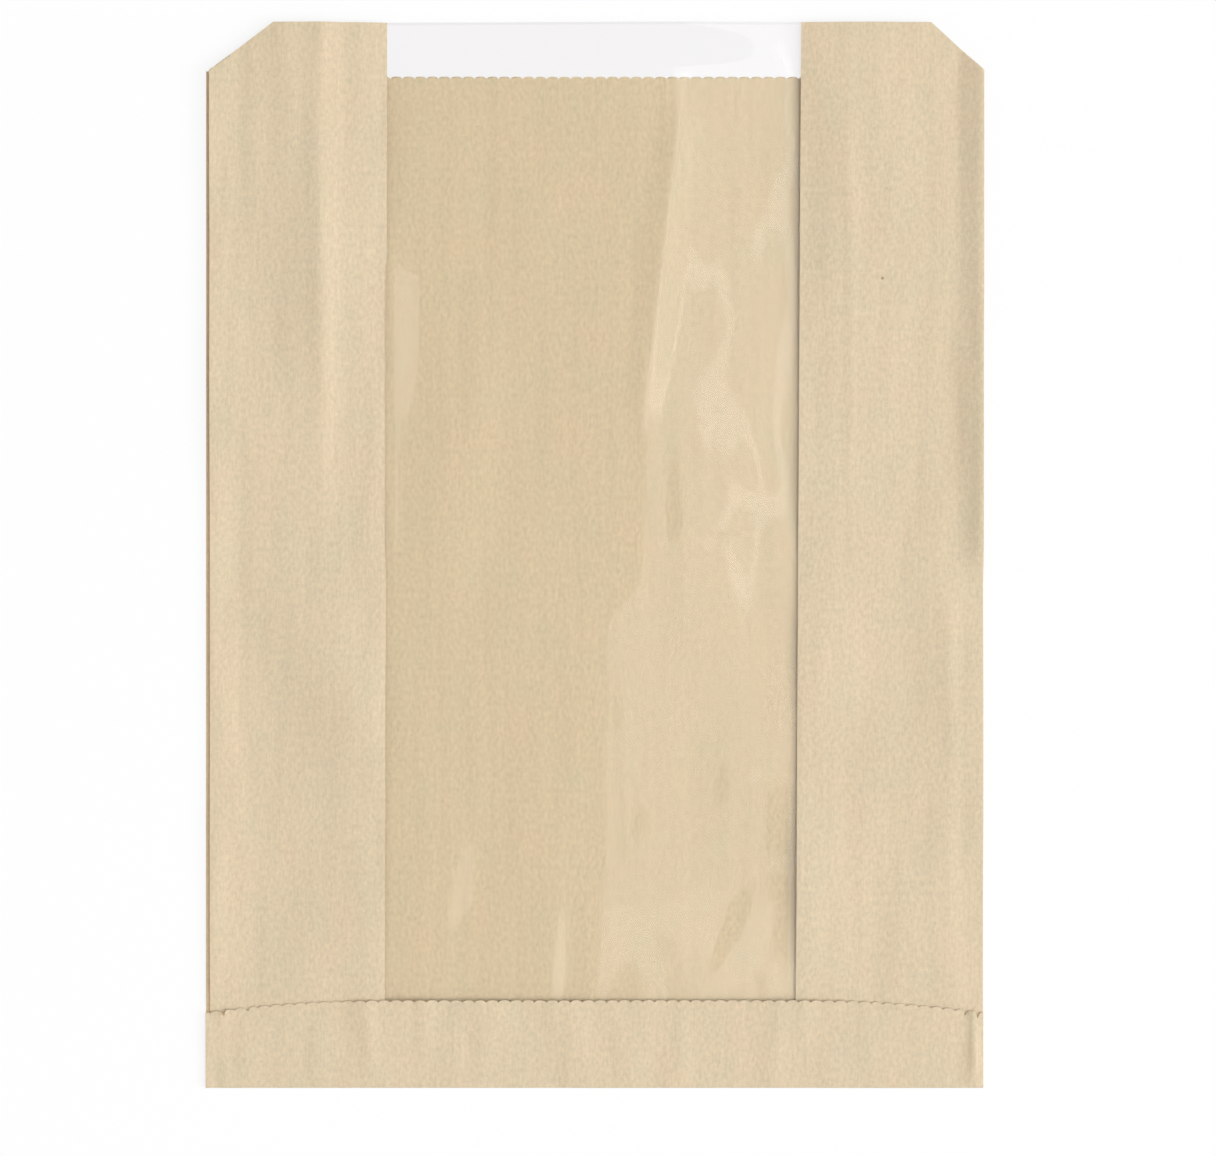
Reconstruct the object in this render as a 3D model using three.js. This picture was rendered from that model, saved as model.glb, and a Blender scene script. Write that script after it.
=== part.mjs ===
// A window bakery bag of brown kraft paper, lying flat with its front up and its mouth towards +Y.
// One sheet of paper is folded into the back, two side gussets and two front panels, and its bottom
// end is turned up over the front as a flap. A strip of clear film is glued behind the two long
// edges of the sheet and closes the front as a window from the mouth down into the flap.
// Millimetres, +Z up. The back lies on Z = 0 and the origin is under the middle of the bag.
import * as THREE from "three";
import { mergeVertices } from "three/addons/utils/BufferGeometryUtils.js";

// The bag
const bagWidth = 205.5; // from side fold to side fold
const bagLength = 281.5; // from the bottom fold to the top of the front
const gussetDepth = 34; // from a side fold to its gusset's inner fold
const flapHeight = 23.3; // from the bottom fold to the edge of the turned-up flap
const panelGape = 2.2; // clear height inside the mouth, from the back to the front panels
const mouthGape = 6.8; // the same under the middle of the window, where the film arches up
const pressedLength = 32; // stretch above the bottom fold that stays pressed flat

// The window
const windowWidth = 109.5; // bare film between the two front panels
const windowShift = -0.9; // middle of the window from the middle of the bag, towards +X
const filmLap = 9; // film glued behind each front panel

// The knife line across the sheet, the same shape at the mouth and at the flap
const lipHeight = 14; // how far the front reaches past the back
const leftCorner = 17; // run of the cut corner at the left side of the front
const rightCorner = 14; // the same at its right side
const mouthSideRise = 1.4; // rise of the back's edge from the middle to the side folds, at the mouth
const flapSideRise = 3.2; // the same rise at the flap
const toothPitch = 3.175; // an eighth of an inch, the pitch of the serrated knife
const toothDepth = 0.75;

// Sheet thicknesses and the air between them
const paperThickness = 0.08;
const filmThickness = 0.04;
const glueGap = 0.02; // between the paper and the film glued behind it
const plyGap = 0.02; // between plies that are pressed together

// How finely the curved stretches are divided
const foldSteps = 4; // along each lengthwise fold
const turnSteps = 6; // around the bottom fold
const liftSteps = 6; // where the front curves up off the back
const archSteps = 10; // across the arch of the film
const toothSteps = 4; // along one tooth
const columnTeeth = 5; // teeth across one column of the sheet
const edgeBand = 5; // from the knife line to the nearest row
const leastStep = 0.05; // no two points of the knife line come closer than this

// Plies lie one above the other at this pitch, so that the film fits between any two of them.
const plyPitch = paperThickness + filmThickness + glueGap + plyGap;
const foldRadius = plyPitch / 2;
const backMiddle = paperThickness / 2;
const frontMiddle = backMiddle + 3 * plyPitch;
const pressedGape = 3 * plyPitch - paperThickness - glueGap - filmThickness;

// The bottom fold turns all plies together about an axis just above the front.
const turnRadius = frontMiddle + paperThickness / 2 + glueGap + plyGap;
const turnTravel = Math.PI * turnRadius;
const turnY = (turnRadius - bagLength) / 2;

// The sheet is measured by u, across, from the middle of the back out to both sides, and by v, up
// the bag from the bottom fold. Below the fold v is negative.
const backEnd = bagWidth / 2 - foldRadius - paperThickness / 2;
const foldTravel = Math.PI * foldRadius;
const leafReach = gussetDepth - 2 * foldRadius - paperThickness;
const frontStart = backEnd + 3 * foldTravel + 2 * leafReach;
const frontTop = bagLength - turnRadius;
const mouthLine = frontTop - lipHeight;
const flapLine = flapHeight - turnRadius + turnTravel;

// How the stretches of one half of the sheet bend, in radians, when its gusset leaves are splayed.
const stretches = [
  { length: backEnd, bend: () => 0 },
  { length: foldTravel, bend: (splay) => Math.PI - splay },
  { length: leafReach, bend: () => 0 },
  { length: foldTravel, bend: (splay) => 2 * splay - Math.PI },
  { length: leafReach, bend: () => 0 },
  { length: foldTravel, bend: (splay) => Math.PI - splay },
  { length: Infinity, bend: () => 0 },
];

// Follows the paper outwards from the middle of the back at one height of the bag. Gives the place
// in the cross-section, a distance inside the middle of the paper.
function section(travel, splay, inside) {
  const at = new THREE.Vector2(0, backMiddle);
  const inward = new THREE.Vector2(0, 1);
  let left = travel;
  for (const { length, bend } of stretches) {
    const step = Math.min(left, length);
    const turn = (bend(splay) * step) / length || 0;
    if (turn) {
      const arm = Math.sign(turn) * foldRadius;
      at.addScaledVector(inward, arm);
      inward.rotateAround(new THREE.Vector2(), turn);
      at.addScaledVector(inward, -arm);
    } else {
      at.add(new THREE.Vector2(inward.y, -inward.x).multiplyScalar(step));
    }
    left -= step;
    if (left <= 0) break;
  }
  return at.addScaledVector(inward, inside);
}

// The front lifts off the back along a curve that runs out into a straight slope to the mouth. Gives
// the share of the mouth's opening that is reached at height v.
function opening(v) {
  const share = THREE.MathUtils.clamp((v - pressedLength) / (frontTop - pressedLength), 0, 1);
  const curved = 0.5;
  const eased = share < curved ? share ** 2 / (2 * curved) : share - curved / 2;
  return eased / (1 - curved / 2);
}

// Angle of each gusset leaf to the back, at height v.
function splayAt(v) {
  return Math.asin((opening(v) * (panelGape - pressedGape)) / (2 * leafReach));
}

// Turns what lies below the bottom fold up over the front.
function turnUp(x, v, z) {
  if (v >= 0) return new THREE.Vector3(x, turnY + v, z);
  const radius = turnRadius - z;
  const angle = Math.PI * Math.min(-v / turnTravel, 1);
  const past = Math.max(-v - turnTravel, 0);
  return new THREE.Vector3(
    x,
    turnY + past - radius * Math.sin(angle),
    turnRadius - radius * Math.cos(angle),
  );
}

// Where a point of the flat paper sheet lies on the folded bag.
function placePaper(u, v, inside) {
  const { x, y } = section(Math.abs(u), splayAt(v), inside);
  return turnUp(Math.sign(u) * x, v, y);
}

// Where a point of the flat film lies: behind the front panels, whose height it follows, and arched
// up between them towards the mouth.
function placeFilm(x, v, above) {
  const front = section(frontStart, splayAt(v), 0).y;
  const behind = front - paperThickness / 2 - glueGap - filmThickness / 2;
  const across = THREE.MathUtils.clamp((x - windowShift) / windowWidth, -0.5, 0.5);
  const arch = opening(v) * (mouthGape - panelGape) * Math.cos(Math.PI * across) ** 2;
  return turnUp(x, v, behind + arch + above);
}

const cornerOf = (side) => (side < 0 ? leftCorner : rightCorner);

// Rise of the knife line above its lowest stretch, at the middle of the back.
function knifeRise(u, sideRise) {
  const travel = Math.abs(u);
  if (travel >= frontStart) {
    const run = Math.min((travel - frontStart) / cornerOf(Math.sign(u)), 1);
    return THREE.MathUtils.lerp(sideRise, lipHeight, run);
  }
  const flat = windowWidth / 2;
  const share = THREE.MathUtils.clamp((travel - flat) / (backEnd - flat), 0, 1);
  return sideRise * share ** 2;
}

// Depth of the serration, in rounded lobes, along the back and the gussets. The front is cut plain.
function tooth(u) {
  if (Math.abs(u) >= frontStart) return 0;
  const phase = THREE.MathUtils.euclideanModulo(u / toothPitch, 1);
  return toothDepth * (Math.sqrt(1 - (2 * phase - 1) ** 2) - 1);
}

const mouthEdge = (u) => mouthLine + knifeRise(u, mouthSideRise) + tooth(u);
const flapEdge = (u) => knifeRise(u, flapSideRise) - flapLine - tooth(u);

// Multiples of a step that lie clear inside a stretch.
function multiples(start, end, step) {
  const found = [];
  for (let n = Math.ceil((start + leastStep) / step); n * step < end - leastStep; n++) {
    found.push(n * step);
  }
  return found;
}

// Equal divisions of a stretch, without its start.
function divisions(start, end, steps) {
  return Array.from({ length: steps }, (_, i) => THREE.MathUtils.lerp(start, end, (i + 1) / steps));
}

// Heights at which the sheets are divided between their two ends.
const rows = [
  -turnTravel,
  ...divisions(-turnTravel, 0, turnSteps),
  pressedLength,
  ...divisions(pressedLength, (pressedLength + frontTop) / 2, liftSteps),
  mouthLine - edgeBand,
];

// Columns of one half of the paper, from the middle of the back out to its edge at the window.
function paperColumns(side) {
  const columns = [0];
  let start = 0;
  for (const { length, bend } of stretches.slice(0, -1)) {
    const end = start + length;
    if (bend(0)) columns.push(...divisions(start, end, foldSteps));
    else columns.push(...multiples(start, end, columnTeeth * toothPitch), end);
    start = end;
  }
  const windowEdge = windowWidth / 2 + side * windowShift;
  columns.push(frontStart + cornerOf(side), frontStart + backEnd - windowEdge);
  return columns.map((travel) => side * travel);
}

// Flat cells of a sheet between its columns and rows. The first and last cell of each column end at
// the sheet's own edges, which have extra points where they are serrated.
function cellsOf(columns, lowEdge, highEdge, serratedReach) {
  const cells = [];
  for (let i = 1; i < columns.length; i++) {
    const [a, b] = [columns[i - 1], columns[i]];
    const serrated = Math.abs(a + b) / 2 < serratedReach;
    const points = serrated ? multiples(a, b, toothPitch / toothSteps) : [];
    const along = (edge, us) => us.map((u) => new THREE.Vector2(u, edge(u)));
    const across = rows.map((v) => along(() => v, [a, b]));
    const low = [along(lowEdge, [a, ...points, b]), ...across];
    const high = [...across, along(highEdge, [a, ...points, b])];
    low.forEach((bottom, n) => cells.push(new THREE.Shape([...bottom, ...high[n].toReversed()])));
  }
  return cells;
}

// Gives flat cells a thickness and folds them, as one closed body: two skins and the rim between.
function foldedSheet(cells, thickness, place) {
  const flat = new THREE.ShapeGeometry(cells);
  flat.deleteAttribute("normal");
  flat.deleteAttribute("uv");
  const sheet = mergeVertices(flat);
  const { position } = sheet.attributes;
  const skin = (inside) =>
    Array.from({ length: position.count }, (_, i) =>
      place(position.getX(i), position.getY(i), inside),
    );
  const points = [...skin(thickness / 2), ...skin(-thickness / 2)];
  const faces = [];
  const open = new Map();
  for (let i = 0; i < sheet.index.count; i += 3) {
    const [a, b, c] = sheet.index.array.subarray(i, i + 3);
    faces.push(a, b, c, ...[c, b, a].map((n) => n + position.count));
    for (const [p, q] of [[a, b], [b, c], [c, a]]) {
      if (!open.delete(q + " " + p)) open.set(p + " " + q, [p, q]);
    }
  }
  for (const [p, q] of open.values()) {
    const [under, next] = [p + position.count, q + position.count];
    faces.push(under, next, q, under, q, p);
  }
  const solid = new THREE.BufferGeometry().setFromPoints(points);
  solid.setIndex(faces);
  solid.computeVertexNormals();
  return solid;
}

function paperBag() {
  const columns = [...paperColumns(-1).toReversed(), ...paperColumns(1).slice(1)];
  const kraft = new THREE.MeshStandardMaterial({ color: 0xdeccae, roughness: 0.85, metalness: 0 });
  const cells = cellsOf(columns, flapEdge, mouthEdge, frontStart);
  const mesh = new THREE.Mesh(foldedSheet(cells, paperThickness, placePaper), kraft);
  mesh.name = "paper_bag";
  return mesh;
}

function windowFilm() {
  const half = windowWidth / 2;
  const across = [-half - filmLap, -half, ...divisions(-half, half, archSteps), half + filmLap];
  const columns = across.map((x) => x + windowShift);
  const clear = new THREE.MeshStandardMaterial({
    color: 0xf4f4f2,
    roughness: 0.08,
    metalness: 0,
    transparent: true,
    opacity: 0.15,
  });
  const tail = () => lipHeight - flapLine;
  const top = () => frontTop;
  const cells = cellsOf(columns, tail, top, 0);
  const mesh = new THREE.Mesh(foldedSheet(cells, filmThickness, placeFilm), clear);
  mesh.name = "window_film";
  return mesh;
}

const bag = new THREE.Group();
bag.add(paperBag(), windowFilm());

export default bag;
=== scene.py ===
"""A flat kraft paper bakery bag with a clear film window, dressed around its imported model.

The paper is one sheet: it is laid out flat as a grid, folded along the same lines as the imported
model, given the relief that handling has left in it, and then its thickness. The film is a second
sheet behind the two front panels. Sizes are in metres, written as millimetres times MM.
"""

from __future__ import annotations

import logging
import math
from dataclasses import dataclass
from enum import Enum
from typing import Callable, Sequence

import bmesh
import bpy
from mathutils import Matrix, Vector, noise

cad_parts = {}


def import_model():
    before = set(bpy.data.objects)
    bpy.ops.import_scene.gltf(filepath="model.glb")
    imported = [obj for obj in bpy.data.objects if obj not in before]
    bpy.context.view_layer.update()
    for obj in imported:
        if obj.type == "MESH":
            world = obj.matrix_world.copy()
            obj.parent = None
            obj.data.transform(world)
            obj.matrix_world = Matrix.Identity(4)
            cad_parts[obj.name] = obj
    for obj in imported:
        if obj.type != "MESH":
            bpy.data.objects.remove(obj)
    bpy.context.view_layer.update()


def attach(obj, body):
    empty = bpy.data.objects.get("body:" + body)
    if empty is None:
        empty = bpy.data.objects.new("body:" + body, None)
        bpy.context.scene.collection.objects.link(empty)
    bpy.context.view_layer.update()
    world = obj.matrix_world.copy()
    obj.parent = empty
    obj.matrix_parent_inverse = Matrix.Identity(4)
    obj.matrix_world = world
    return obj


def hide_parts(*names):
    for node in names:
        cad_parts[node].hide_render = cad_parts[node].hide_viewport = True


MM = 0.001
LOG = logging.getLogger("bakery_bag")
# Half the size of a grid when it is made, and how nearly its points are found.
HALF_GRID = 0.5
RIM_TOLERANCE = 1e-5
COLUMN_TOLERANCE = 1e-4
# Power by which a gloss grows towards a slanting view.
SCHLICK_POWER = 5

Socket = bpy.types.NodeSocket
Triple = tuple[float, float, float]


class Side(Enum):
    """The two sides of the bag, seen from the front with the mouth up."""

    LEFT = -1
    RIGHT = 1


def smooth(share: float) -> float:
    """Eases a share between 0 and 1, with level ends."""
    share = min(max(share, 0.0), 1.0)
    return share * share * (3 - 2 * share)


def window(value: float, low: float, high: float, fade: float) -> float:
    """One between low and high, fading to nothing over a distance outside them."""
    return smooth((value - low) / fade + 1) * smooth((high - value) / fade + 1)


@dataclass(frozen=True)
class LongFold:
    """A lengthwise shape pressed into the sheet, with the same section all along its run.

    Args:
        section: Its section, as (x, height) from left to right. Outside it the height is nothing.
        top: Upper end of its run.
        bottom: Lower end of its run.
        fade: Distance over which it dies away past both ends.
        lean: Sideways drift for each metre down from its upper end.
    """

    section: Sequence[tuple[float, float]]
    top: float
    bottom: float
    fade: float = 25 * MM
    lean: float = 0.0

    def __call__(self, x: float, y: float) -> float:
        """Height that the fold adds at a place.

        Args:
            x: Distance to the right of the bag's middle.
            y: Distance above the bag's middle.

        Returns:
            The added height in metres.
        """
        x -= self.lean * (self.top - y)
        if not self.section[0][0] < x < self.section[-1][0]:
            return 0.0
        ends = window(y, self.bottom, self.top, self.fade)
        if ends == 0:
            return 0.0
        for (left, low), (right, high) in zip(self.section, self.section[1:]):
            if x <= right:
                return ends * (low + (high - low) * (x - left) / (right - left))
        return 0.0


def mm(*values: float) -> tuple[float, ...]:
    """The values, given in millimetres, in metres."""
    return tuple(value * MM for value in values)


@dataclass(frozen=True)
class Swell:
    """A soft oval bulge or hollow.

    Args:
        centre: Its middle, as (x, y).
        radii: Half its width and half its length.
        height: Height at the middle.
        turn: Angle of its length from +Y, in degrees, positive towards the left.
    """

    centre: tuple[float, float]
    radii: tuple[float, float]
    height: float
    turn: float = 0.0

    def __call__(self, x: float, y: float) -> float:
        """Height that the swell adds at a place.

        Args:
            x: Distance to the right of the bag's middle.
            y: Distance above the bag's middle.

        Returns:
            The added height in metres.
        """
        dx, dy = x - self.centre[0], y - self.centre[1]
        angle = math.radians(self.turn)
        across = (dx * math.cos(angle) + dy * math.sin(angle)) / self.radii[0]
        along = (dy * math.cos(angle) - dx * math.sin(angle)) / self.radii[1]
        return self.height * math.exp(-(across**2 + along**2))


@dataclass(frozen=True)
class Waves:
    """The uneven waviness of a handled sheet.

    Args:
        height: Greatest height of the waves.
        pitch: Size of a wave across and along the bag.
        seed: Picks another part of the same noise.
    """

    height: float
    pitch: tuple[float, float]
    seed: float

    def __call__(self, x: float, y: float) -> float:
        """Height that the waves add at a place, in metres."""
        place = Vector((x / self.pitch[0], y / self.pitch[1], self.seed))
        return self.height * noise.noise(place)


Relief = Sequence[Callable[[float, float], float]]


def total(relief: Relief, x: float, y: float) -> float:
    """Sum of the features of a relief at a place, in metres."""
    return sum(feature(x, y) for feature in relief)


@dataclass(frozen=True)
class FoldPlan:
    """Sizes of the folded bag, and the fold that takes a flat sheet to its place.

    The sheet is measured by u, across, from the middle of the back out to both sides, and by v, up
    the bag from the bottom fold. Below the fold v is negative. The film is measured by x and v.
    """

    bag_width: float = 205.5 * MM
    bag_length: float = 281.5 * MM
    gusset_depth: float = 34 * MM
    flap_height: float = 23.3 * MM
    panel_gape: float = 2.2 * MM
    mouth_gape: float = 6.8 * MM
    pressed_length: float = 32 * MM
    window_width: float = 109.5 * MM
    window_shift: float = -0.9 * MM
    film_lap: float = 9 * MM
    lip_height: float = 14 * MM
    left_corner: float = 17 * MM
    right_corner: float = 14 * MM
    mouth_side_rise: float = 1.4 * MM
    flap_side_rise: float = 3.2 * MM
    tooth_pitch: float = 3.175 * MM
    tooth_depth: float = 0.75 * MM
    paper: float = 0.08 * MM
    film: float = 0.04 * MM
    glue_gap: float = 0.02 * MM
    ply_gap: float = 0.02 * MM
    curved_share: float = 0.5
    plies_below_front: int = 3

    @property
    def ply_pitch(self) -> float:
        """Middle of one ply to the middle of the next."""
        return self.paper + self.film + self.glue_gap + self.ply_gap

    @property
    def fold_radius(self) -> float:
        """Radius of the lengthwise folds, at the middle of the paper."""
        return self.ply_pitch / 2

    @property
    def fold_travel(self) -> float:
        """Length of paper in one lengthwise fold."""
        return math.pi * self.fold_radius

    @property
    def back_middle(self) -> float:
        """Height of the middle of the back."""
        return self.paper / 2

    @property
    def front_middle(self) -> float:
        """Height of the middle of the front where the bag is pressed."""
        return self.back_middle + self.plies_below_front * self.ply_pitch

    @property
    def pressed_gape(self) -> float:
        """Clear height inside the bag where it is pressed."""
        return self.plies_below_front * self.ply_pitch - self.paper - self.glue_gap - self.film

    @property
    def turn_radius(self) -> float:
        """Height of the axis that the bottom end is turned up about."""
        return self.front_middle + self.paper / 2 + self.glue_gap + self.ply_gap

    @property
    def turn_travel(self) -> float:
        """Length of the back in the bottom fold."""
        return math.pi * self.turn_radius

    @property
    def turn_y(self) -> float:
        """Place of the bottom fold's axis."""
        return (self.turn_radius - self.bag_length) / 2

    @property
    def back_end(self) -> float:
        """Travel from the middle of the back to the side fold."""
        return self.bag_width / 2 - self.fold_radius - self.paper / 2

    @property
    def leaf_reach(self) -> float:
        """Straight width of one gusset leaf."""
        return self.gusset_depth - 2 * self.fold_radius - self.paper

    @property
    def front_start(self) -> float:
        """Travel from the middle of the back to where a front panel starts."""
        return self.back_end + 3 * self.fold_travel + 2 * self.leaf_reach

    @property
    def front_top(self) -> float:
        """Height v of the front's upper edge."""
        return self.bag_length - self.turn_radius

    @property
    def mouth_line(self) -> float:
        """Height v of the back's upper edge at its middle."""
        return self.front_top - self.lip_height

    @property
    def flap_line(self) -> float:
        """Travel from the bottom fold to the flap's edge."""
        return self.flap_height - self.turn_radius + self.turn_travel

    def front_end(self, side: Side) -> float:
        """Travel from the middle of the back to the edge of a front panel at the window."""
        edge = self.window_width / 2 + side.value * self.window_shift
        return self.front_start + self.back_end - edge

    def corner(self, side: Side) -> float:
        """Run of the cut corner at one side of the front."""
        return self.left_corner if side is Side.LEFT else self.right_corner

    def opening(self, v: float) -> float:
        """Share of the mouth's opening that is reached at height v.

        Args:
            v: Height up the bag.

        Returns:
            A share from 0 to 1.
        """
        share = (v - self.pressed_length) / (self.front_top - self.pressed_length)
        share = min(max(share, 0.0), 1.0)
        curved = self.curved_share
        eased = share**2 / (2 * curved) if share < curved else share - curved / 2
        return eased / (1 - curved / 2)

    def splay(self, v: float) -> float:
        """Angle of each gusset leaf to the back at height v."""
        lift = self.opening(v) * (self.panel_gape - self.pressed_gape)
        return math.asin(lift / (2 * self.leaf_reach))

    def section(self, travel: float, splay: float) -> tuple[float, float]:
        """Follows the middle of the paper outwards across the bag.

        Args:
            travel: Distance along the paper from the middle of the back.
            splay: Angle of the gusset leaves to the back.

        Returns:
            Distance from the bag's middle and height, in metres.
        """
        x, z, heading = 0.0, self.back_middle, 0.0
        outer, inner = math.pi - splay, 2 * splay - math.pi
        leaf, fold = (self.leaf_reach, 0.0), self.fold_travel
        runs = [(self.back_end, 0.0), (fold, outer), leaf, (fold, inner), leaf, (fold, outer)]
        left = travel
        for length, bend in [*runs, (math.inf, 0.0)]:
            step = min(left, length)
            if bend:
                arm = math.copysign(self.fold_radius, bend)
                x -= arm * math.sin(heading)
                z += arm * math.cos(heading)
                heading += bend * step / length
                x += arm * math.sin(heading)
                z -= arm * math.cos(heading)
            else:
                x += step * math.cos(heading)
                z += step * math.sin(heading)
            left -= step
            if left <= 0:
                break
        return x, z

    def turn_up(self, x: float, v: float, z: float) -> Vector:
        """Turns what lies below the bottom fold up over the front.

        Args:
            x: Place across the bag.
            v: Height up the unturned bag.
            z: Height over the table.

        Returns:
            The place on the folded bag.
        """
        if v >= 0:
            return Vector((x, self.turn_y + v, z))
        radius = self.turn_radius - z
        angle = math.pi * min(-v / self.turn_travel, 1.0)
        past = max(-v - self.turn_travel, 0.0)
        y = self.turn_y + past - radius * math.sin(angle)
        return Vector((x, y, self.turn_radius - radius * math.cos(angle)))

    def ply_share(self, v: float, z: float) -> float:
        """Place of a ply in the unturned stack: 0 at the back and 1 at the front.

        Args:
            v: Height up the bag.
            z: Height of the ply before the bottom end is turned up.

        Returns:
            The share of the way from the back to the front.
        """
        front = self.section(self.front_start, self.splay(v))[1]
        return (z - self.back_middle) / (front - self.back_middle)

    def level(self, v: float, share: float) -> float:
        """Place of a ply in the turned stack: 1 at the front and up to 2 outside the flap."""
        turned = min(max(-v / self.turn_travel, 0.0), 1.0)
        return share + (2 - 2 * share) * turned

    def knife_rise(self, u: float, side_rise: float) -> float:
        """Rise of the knife line above its lowest stretch, at the middle of the back.

        Args:
            u: Place across the flat sheet.
            side_rise: Rise at the bag's sides.

        Returns:
            The rise in metres.
        """
        travel = abs(u)
        if travel >= self.front_start:
            corner = self.corner(Side.LEFT if u < 0 else Side.RIGHT)
            run = min((travel - self.front_start) / corner, 1.0)
            return side_rise + (self.lip_height - side_rise) * run
        flat = self.window_width / 2
        share = min(max((travel - flat) / (self.back_end - flat), 0.0), 1.0)
        return side_rise * share**2

    def tooth(self, u: float) -> float:
        """Depth of the serration along the back and the gussets, zero or below.

        Args:
            u: Place across the flat sheet.

        Returns:
            The depth in metres, none along the front panels.
        """
        if abs(u) >= self.front_start:
            return 0.0
        phase = (u / self.tooth_pitch) % 1
        return self.tooth_depth * (math.sqrt(max(1 - (2 * phase - 1) ** 2, 0)) - 1)

    def mouth_edge(self, u: float) -> float:
        """Height v of the sheet's upper edge."""
        return self.mouth_line + self.knife_rise(u, self.mouth_side_rise) + self.tooth(u)

    def flap_edge(self, u: float) -> float:
        """Height v of the sheet's lower edge, on the flap."""
        return self.knife_rise(u, self.flap_side_rise) - self.flap_line - self.tooth(u)


LEFT_PAD = (
    mm(-102.7, 0),
    mm(-92, 0.35),
    mm(-78, 0.75),
    mm(-72, 1.35),
    mm(-66.6, 0.15),
    mm(-66.1, 0.1),
    mm(-55.6, -0.6),
    mm(-28, 0),
)
RIGHT_PAD = (mm(55.7, 0), mm(67.4, 0.9), mm(69, 0.75), mm(80, 0.4), mm(102.7, 0))
RIGHT_HEM = (mm(95.8, 0), mm(96.6, 0.10), mm(99, 0.65), mm(101.6, 1.45), mm(104, 1.5))
LEFT_HEM = (mm(-104, 0.8), mm(-101.6, 0.75), mm(-97, 0.22), mm(-93.8, 0))
RIGHT_RIB = (mm(66.6, 0), mm(67.4, 0.20), mm(68.8, 0))
LOW_RIB = (mm(84, 0), mm(93.8, 0.36), mm(97.2, 0), mm(98, 0))
CORNER_PINCH = (mm(98.6, 0), mm(100.6, 0.9), mm(101.5, 0))
FILM_CURL = (mm(-55.2, 0), mm(-54.2, 1.1), mm(-45, 0))
FILM_HOLD = (mm(45, 0), mm(52.3, 0.6), mm(53.4, 0))
BACK_FOLD = (mm(14, 0), mm(21.5, 0.95), mm(28, 0))


@dataclass(frozen=True)
class BagRelief:
    """What handling and folding have left in the surfaces, as named features."""

    back: Relief = (
        Waves(0.35 * MM, mm(34, 70), 1.7),
        Waves(0.16 * MM, mm(8, 50), 4.4),
        LongFold(BACK_FOLD, *mm(107, 45, 20), -0.129),
        Swell(mm(-36, 25), mm(10, 34), 0.9 * MM, -6),
        Swell(mm(-14, -92), mm(12, 36), 0.3 * MM),
    )
    front: Relief = (
        Waves(0.45 * MM, mm(14, 48), 5.3),
        Waves(0.17 * MM, mm(4.6, 20), 9.1),
        Waves(0.90 * MM, mm(27, 34), 3.3),
        # the swelling beside the left gusset's inner fold
        LongFold(LEFT_PAD, *mm(150, 60, 60)),
        LongFold(RIGHT_PAD, *mm(150, 100, 60)),
        # the right side, rolled up along its upper half
        LongFold(RIGHT_HEM, *mm(131, 4, 13)),
        LongFold(LEFT_HEM, *mm(150, -116, 8)),
        LongFold(RIGHT_RIB, *mm(55, 30, 60)),
        LongFold(LOW_RIB, *mm(-20, -125, 14)),
        Swell(mm(-96, -62), mm(7, 50), 0.45 * MM),
        Swell(mm(-64, -42), mm(12, 34), 1.2 * MM, 28),
        Swell(mm(-58, -98), mm(20, 34), 0.9 * MM),
        Swell(mm(75, -2), mm(12, 22), 0.7 * MM),
        Swell(mm(94, -38), mm(9, 18), 0.5 * MM),
        Swell(mm(54, -84), mm(10, 28), 1.0 * MM),
    )
    flap: Relief = (
        Waves(0.75 * MM, mm(11, 26), 3.9),
        Waves(0.42 * MM, mm(3.6, 16), 8.2),
        LongFold(CORNER_PINCH, *mm(-121, -134, 3)),
        # the lifted teeth beside the torn notches
        Swell(mm(-98.3, -120.4), mm(1.3, 1.6), 0.6 * MM),
        Swell(mm(-95.6, -120.0), mm(1.0, 1.2), 0.35 * MM),
        Swell(mm(99.2, -120.2), mm(1.1, 1.6), 0.6 * MM),
        Swell(mm(101.8, -119.8), mm(1.0, 1.8), 0.6 * MM),
    )
    film: Relief = (
        Waves(0.38 * MM, mm(17, 20), 2.2),
        Waves(0.08 * MM, mm(8, 7), 6.6),
        Swell(mm(37, 58), mm(8, 17), 0.55 * MM, -24),
        Swell(mm(45, 22), mm(5, 13), 0.40 * MM, 18),
        # the leaf-shaped dent low in the film
        Swell(mm(38, -102), mm(4, 14), 0.55 * MM, -28),
        Swell(mm(30, 8), mm(10, 6), 0.30 * MM, 24),
        Swell(mm(-41, -92), mm(6.5, 20), 0.80 * MM, -10),
        Swell(mm(-50, -32), mm(5, 12), 0.45 * MM),
    )
    edge: Relief = (
        LongFold(FILM_CURL, *mm(70, 5, 14)),
        # two stretches where the film's right edge is held up
        LongFold(FILM_HOLD, *mm(-63, -76, 6)),
        LongFold(FILM_HOLD, *mm(-88, -112, 8)),
    )
    looseness: float = 0.25 * MM
    settling: float = 42 * MM
    air_share: float = 0.6

    def back_lift(self, at: Vector) -> float:
        """Height that the back's relief adds to all plies at a place."""
        return max(total(self.back, at.x, at.y), 0)

    def front_lift(self, at: Vector, plan: FoldPlan) -> float:
        """Height that the front's relief adds to the front and the film at a place.

        Args:
            at: The place.
            plan: The bag's fold, which says how much air lies under the front there.

        Returns:
            The added height, fading out at the bottom fold and never pressing into the back.
        """
        fade = smooth((at.y + plan.bag_length / 2) / self.settling)
        air = plan.opening(at.y - plan.turn_y) * (plan.panel_gape - plan.pressed_gape)
        return fade * max(self.looseness + total(self.front, at.x, at.y), -self.air_share * air)


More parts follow.
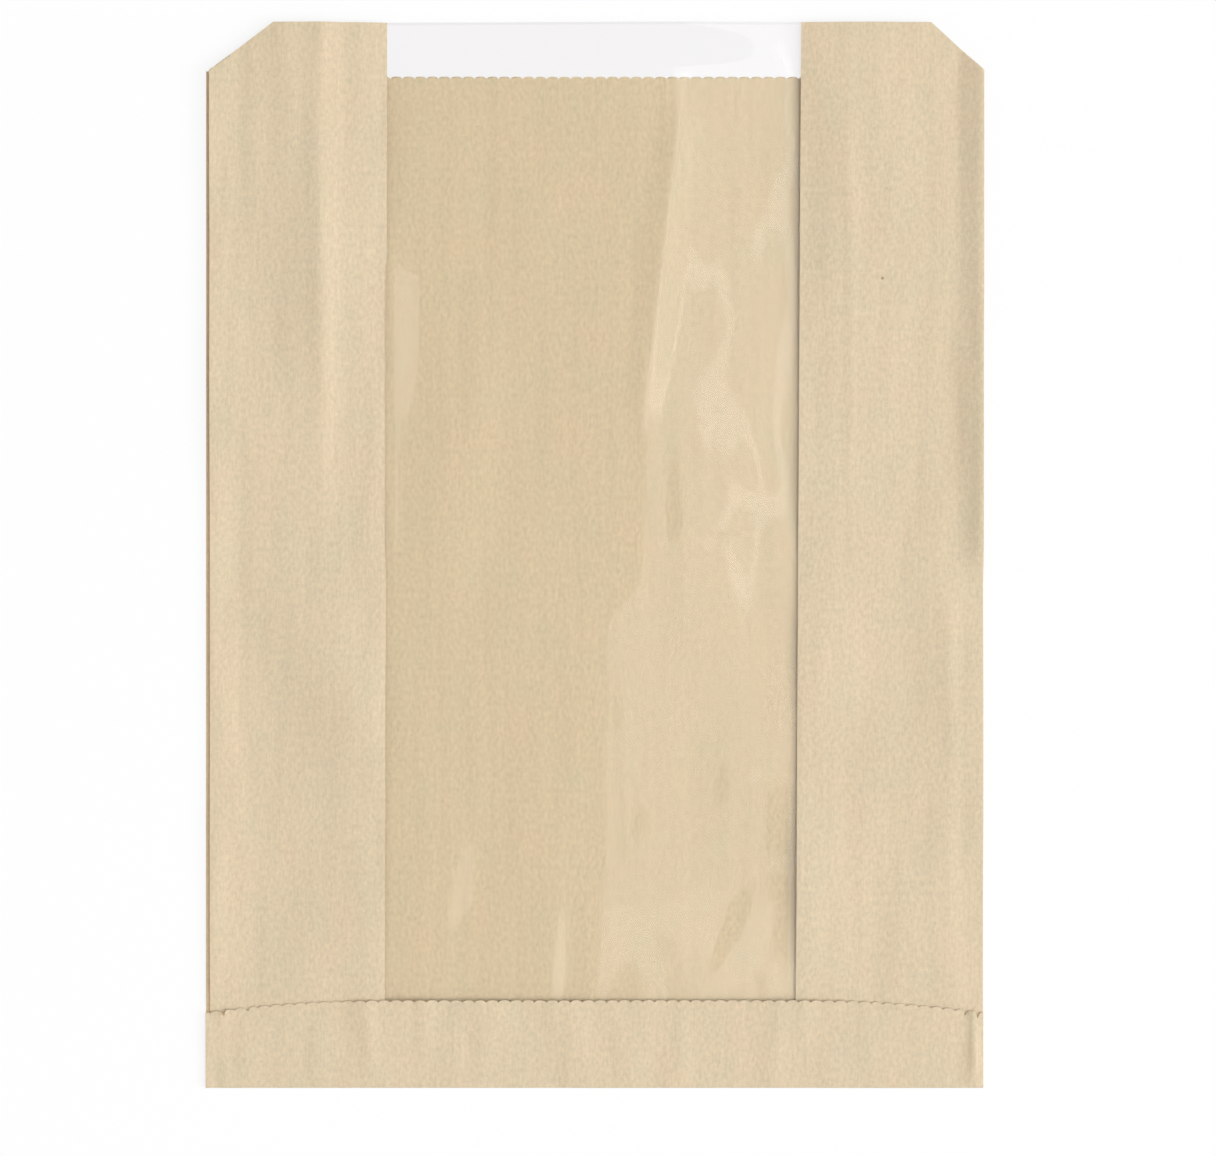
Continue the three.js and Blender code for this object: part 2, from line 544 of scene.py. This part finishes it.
@dataclass
class Sheet:
    """A flat sheet that is divided, folded and made into a finished piece.

    Args:
        plan: The bag's sizes and its fold.
        relief: The features of its surfaces.
    """

    plan: FoldPlan
    relief: BagRelief
    row_step: float = 2.4 * MM
    turn_steps: int = 8
    end_steps: int = 8
    end_band: float = 4 * MM

    def rows(self) -> list[float]:
        """Places the rows between the two bands along the sheet's ends.

        Returns:
            Their heights v, upwards.
        """
        plan = self.plan
        turn = [-plan.turn_travel * (1 - i / self.turn_steps) for i in range(self.turn_steps)]
        top = plan.mouth_line - self.end_band
        count = round(top / self.row_step)
        return turn + [top * i / count for i in range(count + 1)]

    def flat_grid(
        self,
        columns: Sequence[float],
        low_edge: Callable[[float], float],
        high_edge: Callable[[float], float],
        cuts: int,
    ) -> bmesh.types.BMesh:
        """Lays out the sheet as a grid whose first and last rows follow its cut edges.

        Args:
            columns: Places across the sheet.
            low_edge: Lower edge, as a height v for each place across.
            high_edge: Upper edge.
            cuts: Extra points in each column's stretch of those edges.

        Returns:
            The flat mesh, with the place across in x and the height v in y.
        """
        middle = self.rows()
        ends = self.end_steps
        across, along = len(columns) - 1, len(middle) - 1 + 2 * ends
        bm = bmesh.new()
        bmesh.ops.create_grid(bm, x_segments=across, y_segments=along, size=HALF_GRID)
        reach = HALF_GRID - RIM_TOLERANCE
        rim = [edge for edge in bm.edges if all(abs(v.co.y) > reach for v in edge.verts)]
        if cuts:
            bmesh.ops.subdivide_edges(bm, edges=rim, cuts=cuts)
        for vert in bm.verts:
            place = (vert.co.x + HALF_GRID) * across
            column = min(int(place + COLUMN_TOLERANCE), across - 1)
            u = columns[column] + (columns[column + 1] - columns[column]) * (place - column)
            row = round((vert.co.y + HALF_GRID) * along)
            if row < ends:
                v = low_edge(u) + (middle[0] - low_edge(u)) * row / ends
            elif row >= ends + len(middle):
                over = (row - ends - len(middle) + 1) / ends
                v = middle[-1] + (high_edge(u) - middle[-1]) * over
            else:
                v = middle[row - ends]
            vert.co = (u, v, 0)
        return bm

    def store_web(self, bm: bmesh.types.BMesh) -> None:
        """Keeps the flat place of every corner in a UV map, in metres, for the paper's grain.

        Args:
            bm: The flat mesh.
        """
        layer = bm.loops.layers.uv.new("web")
        for face in bm.faces:
            face.smooth = True
            for loop in face.loops:
                loop[layer].uv = loop.vert.co.xy

    def finish(
        self, bm: bmesh.types.BMesh, name: str, thickness: float, material: bpy.types.Material
    ) -> bpy.types.Object:
        """Turns the folded sheet into an object with its thickness.

        Args:
            bm: The folded mesh, freed here.
            name: The piece's name.
            thickness: Thickness of the sheet.
            material: Its finish.

        Returns:
            The finished piece, at the origin.
        """
        mesh = bpy.data.meshes.new(name)
        bm.to_mesh(mesh)
        bm.free()
        mesh.materials.append(material)
        piece = bpy.data.objects.new(name, mesh)
        bpy.context.scene.collection.objects.link(piece)
        wall = piece.modifiers.new("thickness", "SOLIDIFY")
        wall.thickness = thickness
        wall.offset = 0
        piece.modifiers.new("flat_shading_to_the_rims", "WEIGHTED_NORMAL")
        return piece


@dataclass
class PaperBag(Sheet):
    """The folded kraft paper sheet."""

    fold_steps: int = 5
    back_step: float = 1.5875 * MM
    leaf_step: float = 3.175 * MM
    front_step: float = 1.2 * MM
    side_band: float = 9 * MM
    side_step: float = 0.8 * MM
    tooth_cuts: int = 5
    edge_press: float = 6 * MM
    gusset_press: float = 0.48
    tuck: float = 1.1 * MM
    # Drift of the window's edges halfway up the bag, and how much it grows up to the mouth.
    left_drift: tuple[float, float] = mm(0.53, 0.38)
    right_drift: tuple[float, float] = mm(-0.05, 0.75)
    # Torn notches, as (place across the bag, added depth), and half their width.
    nick_reach: float = 0.55 * MM
    nicks: Sequence[tuple[float, float]] = (
        mm(-97.9, 1.5),
        mm(-91.5, 1.0),
        mm(97.9, 1.3),
        mm(101.2, 1.7),
    )

    def columns(self, side: Side) -> list[float]:
        """Places across one half of the sheet, from the middle of the back to the window.

        Args:
            side: The half.

        Returns:
            The places u, outwards.
        """
        plan = self.plan
        leaf = (plan.leaf_reach, self.leaf_step)
        fold = (plan.fold_travel, plan.fold_travel / self.fold_steps)
        front = plan.front_end(side) - plan.front_start
        corner, band = plan.corner(side), self.side_band
        stretches = [(plan.back_end - band, self.back_step), (band, self.side_step)]
        stretches += [fold, leaf, fold, leaf, fold, (band, self.side_step)]
        stretches += [(corner - band, self.front_step), (front - corner, self.front_step)]
        places = [0.0]
        for length, step in stretches:
            count = round(length / step)
            start = places[-1]
            places += [start + length * (i + 1) / count for i in range(count)]
        return [side.value * u for u in places]

    def drift(self, u: float, at: Vector, share: float) -> float:
        """Sideways shift of the upper plies.

        The left side fold of the front is tucked in a little, so that the gusset's lower fold shows
        beside it. Both edges of the window lean a little to the right.

        Args:
            u: Place across the flat sheet.
            at: Place on the folded bag.
            share: The ply's share of the way from the back to the front.

        Returns:
            The shift towards +X in metres.
        """
        plan = self.plan
        side = Side.LEFT if u < 0 else Side.RIGHT
        inward = plan.bag_width / 2 - abs(at.x)
        shift = 0.0
        if side is Side.LEFT:
            fold = max(1 - inward / plan.gusset_depth, 0.0)
            shift += self.tuck * fold * smooth(plan.plies_below_front * share - 1)
        if abs(u) > plan.front_start:
            panel = (abs(u) - plan.front_start) / (plan.front_end(side) - plan.front_start)
            height = 2 * at.y / plan.bag_length
            middle, lean = self.left_drift if side is Side.LEFT else self.right_drift
            shift += panel * (middle + height * lean)
        return shift

    def place(self, u: float, v: float) -> Vector:
        """Folds a point of the flat sheet to its place on the bag, and adds the relief.

        Args:
            u: Place across the sheet.
            v: Height on the sheet.

        Returns:
            The place on the folded bag.
        """
        plan, relief = self.plan, self.relief
        x, z = plan.section(abs(u), plan.splay(v))
        share = plan.ply_share(v, z)
        level = plan.level(v, share)
        at = plan.turn_up(math.copysign(x, u), v, z)
        at.x += self.drift(u, at, share)
        if level > 1:
            at.z += (plan.turn_radius - at.z) * self.pressing(at.x, v)
            at.z += max(total(relief.flap, at.x, at.y), 0) * (level - 1)
        at.z += relief.back_lift(at) + relief.front_lift(at, plan) * min(level, 1)
        return at

    def worn_flap_edge(self, u: float) -> float:
        """Height v of the flap's edge, with the few notches that have torn deeper.

        Args:
            u: Place across the flat sheet.

        Returns:
            The height in metres, negative.
        """
        x = math.copysign(self.plan.section(abs(u), 0)[0], u)
        torn = (depth * max(1 - abs(x - at) / self.nick_reach, 0) for at, depth in self.nicks)
        return self.plan.flap_edge(u) + (sum(torn) if abs(u) < self.plan.front_start else 0)

    def pressing(self, x: float, v: float) -> float:
        """Share by which the flap's gussets are pressed together towards its edge.

        Args:
            x: Distance to the right of the bag's middle.
            v: Height on the flat sheet, negative on the flap.

        Returns:
            The share of a ply's height over the front that is taken away.
        """
        plan = self.plan
        gusset = smooth((abs(x) + plan.gusset_depth - plan.bag_width / 2) / self.edge_press + 1)
        near = smooth((plan.lip_height - self.edge_press - plan.flap_line - v) / self.edge_press)
        return self.gusset_press * gusset * near

    def build(self, material: bpy.types.Material) -> bpy.types.Object:
        """Makes the folded sheet.

        Args:
            material: The kraft paper.

        Returns:
            The finished piece.
        """
        plan = self.plan
        columns = [*reversed(self.columns(Side.LEFT)), *self.columns(Side.RIGHT)[1:]]
        bm = self.flat_grid(columns, self.worn_flap_edge, plan.mouth_edge, self.tooth_cuts)
        self.store_web(bm)
        for vert in bm.verts:
            vert.co = self.place(vert.co.x, vert.co.y)
        return self.finish(bm, "kraft_paper_sheet", plan.paper, material)


@dataclass
class WindowFilm(Sheet):
    """The clear film behind the two front panels."""

    row_step: float = 1.6 * MM
    column_step: float = 1.0 * MM
    ridge: float = 1.7 * MM
    lip_rest: float = 0.25
    held_share: float = 0.25
    crest_waves: float = 0.3
    crest_growth: float = 3.0
    # The crest of the arch, as (place along the bag, place across it).
    crest: Sequence[tuple[float, float]] = (mm(-150, 2), mm(-20, 3), mm(-5, 13), mm(150, 22))

    def crest_at(self, y: float) -> float:
        """Place across the bag of the crest of the film's arch, at a height of the bag.

        Args:
            y: Distance above the bag's middle.

        Returns:
            The place in metres.
        """
        for (low, start), (high, end) in zip(self.crest, self.crest[1:]):
            if y <= high:
                return start + (end - start) * smooth((y - low) / (high - low))
        return self.crest[-1][1]

    def bare_share(self, x: float, y: float) -> float:
        """How free the film is of the panels: none at their edges, one along the crest.

        Args:
            x: Distance to the right of the bag's middle.
            y: Distance above the bag's middle.

        Returns:
            A share from 0 to 1.
        """
        plan = self.plan
        left = plan.window_shift - plan.window_width / 2
        crest, right = self.crest_at(y), left + plan.window_width
        reach = (x - crest) / (crest - left) if x < crest else (x - crest) / (right - crest)
        return 1 - min(abs(reach), 1.0)

    def panel_lift(self, at: Vector) -> float:
        """Height that the front panels' relief gives the film, which spans straight between them.

        Args:
            at: The place.

        Returns:
            The height in metres.
        """
        plan = self.plan
        left = plan.window_shift - plan.window_width / 2
        across = (at.x - left) / plan.window_width
        if not 0 < across < 1:
            return self.relief.front_lift(at, plan)
        edges = (Vector((left + end * plan.window_width, at.y, 0)) for end in (0, 1))
        low, high = (self.relief.front_lift(edge, plan) for edge in edges)
        return low + (high - low) * across

    def place(self, x: float, v: float) -> Vector:
        """Takes a point of the flat film to its place on the bag, and adds the relief.

        Args:
            x: Place across the bag.
            v: Height on the film.

        Returns:
            The place on the folded bag.
        """
        plan, relief = self.plan, self.relief
        front = plan.section(plan.front_start, plan.splay(v))[1]
        behind = front - plan.paper / 2 - plan.glue_gap - plan.film / 2
        bare = self.bare_share(x, plan.turn_y + v)
        lip = smooth((v - plan.mouth_line) / plan.lip_height)
        rise = math.sin(math.pi / 2 * bare) ** 2 * (1 - (1 - self.lip_rest) * lip)
        clear = smooth((v - plan.flap_height) / plan.flap_height)
        at = plan.turn_up(x, v, behind)
        lift = plan.opening(v) * (plan.mouth_gape - plan.panel_gape) * rise
        lift += relief.back_lift(at) + self.panel_lift(at)
        if clear > 0 and bare > 0:
            calm = min(self.crest_growth * (1 - bare) + self.crest_waves, 1.0)
            free = min(bare / self.held_share, 1.0) * calm * (1 - lip)
            lift += clear * (self.ridge * bare * (1 - lip) + total(relief.edge, at.x, at.y))
            lift += clear * free * total(relief.film, at.x, at.y)
        at.z += lift
        return at

    def build(self, material: bpy.types.Material) -> bpy.types.Object:
        """Makes the strip of film.

        Args:
            material: The clear film.

        Returns:
            The finished piece.
        """
        plan = self.plan
        half = plan.window_width / 2 + plan.film_lap
        count = round(2 * half / self.column_step)
        columns = [plan.window_shift - half + 2 * half * i / count for i in range(count + 1)]
        tail = plan.lip_height - plan.flap_line

        bm = self.flat_grid(columns, lambda x: tail, lambda x: plan.front_top, 0)
        self.store_web(bm)
        for vert in bm.verts:
            vert.co = self.place(vert.co.x, vert.co.y)
        return self.finish(bm, "clear_window_film", plan.film, material)


class NodeSheet:
    """Short ways to add and join the nodes of one material or world."""

    def __init__(self, owner: bpy.types.Material | bpy.types.World) -> None:
        """Empties the owner's node tree, to build it anew.

        Args:
            owner: The material or world.
        """
        owner.use_nodes = True
        self.tree = owner.node_tree
        self.tree.nodes.clear()

    def add(self, kind: str, **settings: object) -> bpy.types.Node:
        """Adds a node.

        Args:
            kind: The node's type name.
            settings: Its properties, and its inputs where a name is one of those.

        Returns:
            The new node.
        """
        node = self.tree.nodes.new(kind)
        for name, value in settings.items():
            socket = node.inputs.get(name.replace("_", " ").title())
            if socket is None:
                setattr(node, name, value)
            else:
                socket.default_value = value
        return node

    def join(self, source: Socket, target: Socket) -> None:
        """Links two sockets."""
        self.tree.links.new(source, target)

    def math(self, operation: str, first: object, second: object) -> Socket:
        """Adds a Math node on two sockets or numbers and returns its result.

        Args:
            operation: What it does.
            first: A socket or a number.
            second: The same.

        Returns:
            The node's result.
        """
        node = self.tree.nodes.new("ShaderNodeMath")
        node.operation = operation
        for socket, value in zip(node.inputs, (first, second)):
            if isinstance(value, Socket):
                self.join(value, socket)
            else:
                socket.default_value = value
        return node.outputs[0]

    def web(self) -> tuple[Socket, Socket]:
        """Adds the nodes that read a place's flat u and v, in metres.

        Returns:
            The two values.
        """
        place = self.add("ShaderNodeUVMap", uv_map="web")
        split = self.add("ShaderNodeSeparateXYZ")
        self.join(place.outputs["UV"], split.inputs["Vector"])
        return split.outputs["X"], split.outputs["Y"]


@dataclass(frozen=True)
class Pattern:
    """A noise that stains the paper.

    Args:
        size: Size of its features across the sheet.
        stretch: Share of that size's frequency that is left along the sheet.
        detail: The noise's detail.
        low: Value up to which it leaves no stain.
        high: Value from which the stain is strongest.
        share: The strongest stain's share.
    """

    size: float
    stretch: float
    detail: float
    low: float
    high: float
    share: float


@dataclass(frozen=True)
class KraftPaper:
    """Unbleached kraft paper: matte, with lengthwise fibres, soft mottling and small flecks."""

    plan: FoldPlan
    pulp: Triple = (0.763, 0.626, 0.430)
    # Painted light: the back is coloured lighter than the pulp, to make up for the light that the film
    # takes away.
    inside: Triple = (0.847, 0.696, 0.434)
    warm: Triple = (1.054, 0.995, 0.995)
    green: Triple = (0.94, 1.005, 0.971)
    fleck: Triple = (0.60, 0.52, 0.45)
    shade: Triple = (0.819, 0.815, 0.807)
    # Painted shade: the gussets show only in shaded gaps, and this browns them as light through the
    # paper would.
    glow: Triple = (1.08, 0.985, 0.905)
    roughness: float = 0.55
    gloss: float = 0.4
    noise_roughness: float = 0.6
    fibres: Pattern = Pattern(0.45 * MM, 0.14, 3, 0.40, 0.75, 0.52)
    grain: Pattern = Pattern(0.95 * MM, 0.70, 3, 0.36, 0.64, 0.62)
    clouds: Pattern = Pattern(14 * MM, 0.55, 5, 0.42, 0.66, 0.55)
    blush: Pattern = Pattern(8.4 * MM, 0.70, 4, 0.46, 0.70, 0.50)
    streaks: Pattern = Pattern(3.2 * MM, 0.06, 4, 0.42, 0.72, 0.28)
    flecks: Pattern = Pattern(0.9 * MM, 0.70, 1, 0.71, 0.78, 0.25)
    fibre_height: float = 0.04 * MM
    fibre_bump: float = 0.6
    speck_at: tuple[float, float] = mm(75.8, 72.9)
    speck_reach: float = 0.42 * MM

    def noise(self, nodes: NodeSheet, pattern: Pattern) -> Socket:
        """Adds a pattern's noise, laid on the flat sheet.

        Args:
            nodes: The material's nodes.
            pattern: The pattern.

        Returns:
            A value around one half.
        """
        place = nodes.add("ShaderNodeUVMap", uv_map="web")
        turned = nodes.add("ShaderNodeMapping")
        turned.inputs["Scale"].default_value = (1 / pattern.size, pattern.stretch / pattern.size, 1)
        made = nodes.add("ShaderNodeTexNoise", scale=1.0, detail=pattern.detail)
        made.inputs["Roughness"].default_value = self.noise_roughness
        nodes.join(place.outputs["UV"], turned.inputs["Vector"])
        nodes.join(turned.outputs["Vector"], made.inputs["Vector"])
        return made.outputs["Fac"]

    def tint(
        self,
        nodes: NodeSheet,
        base: Socket | Triple,
        colour: Triple,
        share: Socket,
        blend: str = "MULTIPLY",
    ) -> Socket:
        """Lays one colour on another, as a stain or as painted light.

        Args:
            nodes: The material's nodes.
            base: The colour under the stain.
            colour: The stain or painted light, laid on by the blend type.
            share: How much of it is laid on.
            blend: The Mix node's blend type.

        Returns:
            The colour with it laid on.
        """
        mix = nodes.add("ShaderNodeMix", data_type="RGBA", blend_type=blend)
        if isinstance(base, tuple):
            mix.inputs[6].default_value = (*base, 1)
        else:
            nodes.join(base, mix.inputs[6])
        mix.inputs[7].default_value = (*colour, 1)
        nodes.join(share, mix.inputs[0])
        return mix.outputs[2]

    def spread(self, nodes: NodeSheet, value: Socket, pattern: Pattern) -> Socket:
        """Turns a pattern's noise into the share of its stain.

        Args:
            nodes: The material's nodes.
            value: The pattern's noise.
            pattern: The pattern.

        Returns:
            A value from 0 to the pattern's share.
        """
        ramp = nodes.add("ShaderNodeMapRange")
        ramp.inputs["From Min"].default_value = pattern.low
        ramp.inputs["From Max"].default_value = pattern.high
        ramp.inputs["To Max"].default_value = pattern.share
        nodes.join(value, ramp.inputs["Value"])
        return ramp.outputs["Result"]

    def back_painted_light_mask(self, nodes: NodeSheet) -> Socket:
        """Gives 1 on the back, painted lighter where the window shows it, and 0 elsewhere.

        Args:
            nodes: The material's nodes.

        Returns:
            That value.
        """
        across, height = nodes.web()
        within = nodes.math("LESS_THAN", nodes.math("ABSOLUTE", across, 0), self.plan.back_end)
        return nodes.math("MULTIPLY", within, nodes.math("GREATER_THAN", height, 0))

    def gusset_painted_shade_mask(self, nodes: NodeSheet) -> Socket:
        """Gives 1 on the gussets, whose shaded gaps are painted browner, and 0 elsewhere.

        Args:
            nodes: The material's nodes.

        Returns:
            That value.
        """
        across = nodes.math("ABSOLUTE", nodes.web()[0], 0)
        beyond = nodes.math("GREATER_THAN", across, self.plan.back_end)
        before = nodes.math("LESS_THAN", across, self.plan.front_start)
        return nodes.math("MULTIPLY", beyond, before)

    def speck(self, nodes: NodeSheet) -> Socket:
        """Gives 1 on the one dark speck in the right front panel, and 0 elsewhere.

        Args:
            nodes: The material's nodes.

        Returns:
            That value.
        """
        plan = self.plan
        place = nodes.add("ShaderNodeUVMap", uv_map="web")
        gap = nodes.add("ShaderNodeVectorMath", operation="DISTANCE")
        across = plan.front_start + plan.back_end - self.speck_at[0]
        gap.inputs[1].default_value = (across, self.speck_at[1] - plan.turn_y, 0)
        nodes.join(place.outputs["UV"], gap.inputs[0])
        return nodes.math("LESS_THAN", gap.outputs["Value"], self.speck_reach)

    def build(self) -> bpy.types.Material:
        """Makes the material.

        Returns:
            The finished material.
        """
        material = bpy.data.materials.new("kraft_paper")
        nodes = NodeSheet(material)
        stains = (
            (self.clouds, self.warm),
            (self.blush, self.green),
            (self.fibres, self.shade),
            (self.grain, self.shade),
            (self.streaks, self.shade),
            (self.flecks, self.fleck),
        )
        noises = {pattern: self.noise(nodes, pattern) for pattern, _ in stains}
        # The back, which the window shows, is painted lighter than the pulp.
        colour = self.tint(nodes, self.pulp, self.inside, self.back_painted_light_mask(nodes), "MIX")
        for pattern, stain in stains:
            colour = self.tint(nodes, colour, stain, self.spread(nodes, noises[pattern], pattern))
        colour = self.tint(nodes, colour, self.fleck, self.speck(nodes))
        # Painted brown shade on the gussets, seen only in the gaps at the bag's sides.
        colour = self.tint(nodes, colour, self.glow, self.gusset_painted_shade_mask(nodes))
        bump = nodes.add("ShaderNodeBump", strength=self.fibre_bump, distance=self.fibre_height)
        nodes.join(noises[self.fibres], bump.inputs["Height"])
        shader = nodes.add("ShaderNodeBsdfPrincipled", roughness=self.roughness)
        shader.inputs["Specular IOR Level"].default_value = self.gloss
        nodes.join(colour, shader.inputs["Base Color"])
        nodes.join(bump.outputs["Normal"], shader.inputs["Normal"])
        out = nodes.add("ShaderNodeOutputMaterial")
        nodes.join(shader.outputs["BSDF"], out.inputs["Surface"])
        return material


@dataclass(frozen=True)
class ClearFilm:
    """Thin clear film: nearly all see-through, with a faint haze and a gloss that grows at a slant."""

    cut_edge: float
    clear: Triple = (0.970, 0.964, 0.966)
    # Painted shade along the film's cut edge at the mouth.
    painted_edge_shade: Triple = (0.93, 0.92, 0.925)
    haze: float = 0.008
    dust: Triple = (0.9, 0.9, 0.9)
    glint: float = 0.0155
    roughness: float = 0.07
    # Where the painted shade along the cut edge starts and where it is darkest, as distances from the
    # edge.
    edge_band: tuple[float, float] = (0.9 * MM, 0.4 * MM)

    def tinge(self, nodes: NodeSheet) -> Socket:
        """Colour of the light that passes, with a painted shade along the cut edge at the mouth.

        Args:
            nodes: The material's nodes.

        Returns:
            The colour.
        """
        _, height = nodes.web()
        ramp = nodes.add("ShaderNodeMapRange")
        ramp.inputs["From Min"].default_value = self.cut_edge - self.edge_band[0]
        ramp.inputs["From Max"].default_value = self.cut_edge - self.edge_band[1]
        nodes.join(height, ramp.inputs["Value"])
        mix = nodes.add("ShaderNodeMix", data_type="RGBA")
        mix.inputs[6].default_value = (*self.clear, 1)
        mix.inputs[7].default_value = (*self.painted_edge_shade, 1)
        nodes.join(ramp.outputs["Result"], mix.inputs[0])
        return mix.outputs[2]

    def build(self) -> bpy.types.Material:
        """Makes the material.

        Returns:
            The finished material.
        """
        material = bpy.data.materials.new("clear_film")
        nodes = NodeSheet(material)
        through = nodes.add("ShaderNodeBsdfTransparent")
        nodes.join(self.tinge(nodes), through.inputs["Color"])
        gloss = nodes.add("ShaderNodeBsdfGlossy", roughness=self.roughness)
        haze = nodes.add("ShaderNodeBsdfDiffuse", color=(*self.dust, 1))
        slant = nodes.add("ShaderNodeLayerWeight")
        rise = nodes.math("POWER", slant.outputs["Facing"], SCHLICK_POWER)
        fresnel = nodes.math("ADD", nodes.math("MULTIPLY", rise, 1 - self.glint), self.glint)
        shine = nodes.add("ShaderNodeMixShader")
        veil = nodes.add("ShaderNodeMixShader")
        veil.inputs["Fac"].default_value = self.haze
        out = nodes.add("ShaderNodeOutputMaterial")
        nodes.join(fresnel, shine.inputs["Fac"])
        nodes.join(through.outputs["BSDF"], shine.inputs[1])
        nodes.join(gloss.outputs["BSDF"], shine.inputs[2])
        nodes.join(shine.outputs["Shader"], veil.inputs[1])
        nodes.join(haze.outputs["BSDF"], veil.inputs[2])
        nodes.join(veil.outputs["Shader"], out.inputs["Surface"])
        return material


@dataclass(frozen=True)
class WhiteFloor:
    """A plain matte white surface that keeps the bag's shadow."""

    white: float = 0.97
    glow: float = 0.8

    def build(self) -> bpy.types.Material:
        """Makes the material: seen by the camera it is mostly plain white, with a faint shadow.

        Returns:
            The floor's material.
        """
        material = bpy.data.materials.new("white_floor")
        nodes = NodeSheet(material)
        matte = nodes.add("ShaderNodeBsdfPrincipled", roughness=1.0)
        matte.inputs["Base Color"].default_value = (self.white, self.white, self.white, 1)
        matte.inputs["Specular IOR Level"].default_value = 0
        plain = nodes.add("ShaderNodeEmission", strength=1.0)
        path = nodes.add("ShaderNodeLightPath")
        blend = nodes.add("ShaderNodeMixShader")
        out = nodes.add("ShaderNodeOutputMaterial")
        share = nodes.math("MULTIPLY", path.outputs["Is Camera Ray"], self.glow)
        nodes.join(share, blend.inputs["Fac"])
        nodes.join(matte.outputs["BSDF"], blend.inputs[1])
        nodes.join(plain.outputs["Emission"], blend.inputs[2])
        nodes.join(blend.outputs["Shader"], out.inputs["Surface"])
        return material


@dataclass(frozen=True)
class Softbox:
    """A rectangular soft light.

    Args:
        name: Its name.
        place: Its middle.
        aim: The point that it faces.
        size: Its width and height.
        watts: Its power.
    """

    name: str
    place: Triple
    aim: Triple
    size: tuple[float, float]
    watts: float

    def build(self) -> None:
        """Hangs the light."""
        light = bpy.data.lights.new(self.name, "AREA")
        light.shape = "RECTANGLE"
        light.size, light.size_y = self.size
        light.energy = self.watts
        lamp = bpy.data.objects.new(self.name, light)
        lamp.location = self.place
        look = Vector(self.aim) - Vector(self.place)
        lamp.rotation_euler = look.to_track_quat("-Z", "Y").to_euler()
        bpy.context.scene.collection.objects.link(lamp)


@dataclass
class Studio:
    """The floor, the soft lights and the camera that looks straight down on the bag."""

    pixels_wide: float = 1216
    pixels_high: float = 1156
    # Width of the bag over the pixels that it takes up in the frame.
    pixel: float = 205.5 / 777 * MM
    bag_middle_px: tuple[float, float] = (594.5, 554.5)
    lens: float = 100.0
    sensor: float = 36.0
    floor_size: float = 40.0
    floor_drop: float = 0.05 * MM
    sky: float = 0.43
    lights: Sequence[Softbox] = (
        Softbox("overhead_right", (6.5, -1.0, 8.0), (6.5, -1.0, 0.0), (12.5, 10.0), 690.0),
        Softbox("side_right", (6.9, -1.4, 4.0), (0.0, 0.0, 0.0), (2.4, 3.0), 170.0),
        Softbox("bright_core", (2.1, 0.2, 7.9), (2.1, 0.2, 0.0), (0.8, 3.2), 19.0),
        Softbox("bright_core_low", (1.5, -2.7, 7.9), (1.5, -2.7, 0.0), (2.4, 2.1), 16.0),
    )

    def floor(self) -> None:
        """Lays the floor just under the bag's back."""
        bm = bmesh.new()
        bmesh.ops.create_grid(bm, x_segments=1, y_segments=1, size=self.floor_size / 2)
        bmesh.ops.translate(bm, verts=bm.verts, vec=(0, 0, -self.floor_drop))
        mesh = bpy.data.meshes.new("floor")
        bm.to_mesh(mesh)
        bm.free()
        mesh.materials.append(WhiteFloor().build())
        piece = bpy.data.objects.new("floor", mesh)
        bpy.context.scene.collection.objects.link(piece)

    def world(self) -> None:
        """Makes the even light from all round, shown white to the camera and in reflections."""
        world = bpy.data.worlds.new("soft_sky")
        bpy.context.scene.world = world
        nodes = NodeSheet(world)
        path = nodes.add("ShaderNodeLightPath")
        seen = nodes.math("MAXIMUM", path.outputs["Is Camera Ray"], path.outputs["Is Glossy Ray"])
        seen = nodes.math("MAXIMUM", seen, path.outputs["Is Transmission Ray"])
        strength = nodes.math("MULTIPLY", seen, 1 - self.sky)
        light = nodes.add("ShaderNodeBackground", color=(1, 1, 1, 1))
        out = nodes.add("ShaderNodeOutputWorld")
        nodes.join(nodes.math("ADD", strength, self.sky), light.inputs["Strength"])
        nodes.join(light.outputs["Background"], out.inputs["Surface"])

    def camera(self, top: float) -> None:
        """Hangs the camera straight above, framed as the photograph is.

        Args:
            top: Height of the surface that the photograph's scale was read on.
        """
        data = bpy.data.cameras.new("camera")
        data.lens, data.sensor_width = self.lens, self.sensor
        reach = self.pixels_wide * self.pixel * self.lens / self.sensor
        camera = bpy.data.objects.new("camera", data)
        x = (self.pixels_wide / 2 - self.bag_middle_px[0]) * self.pixel
        y = (self.bag_middle_px[1] - self.pixels_high / 2) * self.pixel
        camera.location = (x, y, reach + top)
        bpy.context.scene.collection.objects.link(camera)
        bpy.context.scene.camera = camera

    def build(self, plan: FoldPlan) -> None:
        """Sets up the whole studio around the bag.

        Args:
            plan: The bag's sizes, for the camera's height.
        """
        self.floor()
        self.world()
        self.camera(plan.front_middle)
        for light in self.lights:
            light.build()
        bpy.context.scene.view_settings.view_transform = "Standard"


def dress(piece: bpy.types.Object, node: str) -> None:
    """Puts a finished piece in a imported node's place and reports it.

    Args:
        piece: The piece.
        node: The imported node.
    """
    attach(piece, "root")
    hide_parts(node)
    LOG.info("%s: %d faces, in place of %s", piece.name, len(piece.data.polygons), node)


def main() -> None:
    """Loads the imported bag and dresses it."""
    logging.basicConfig(level=logging.INFO, format="%(message)s")
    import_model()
    plan, relief = FoldPlan(), BagRelief()
    Studio().build(plan)
    paper, film = KraftPaper(plan).build(), ClearFilm(plan.front_top).build()
    dress(PaperBag(plan, relief).build(paper), "paper_bag")
    dress(WindowFilm(plan, relief).build(film), "window_film")


if __name__ == "__main__":
    main()
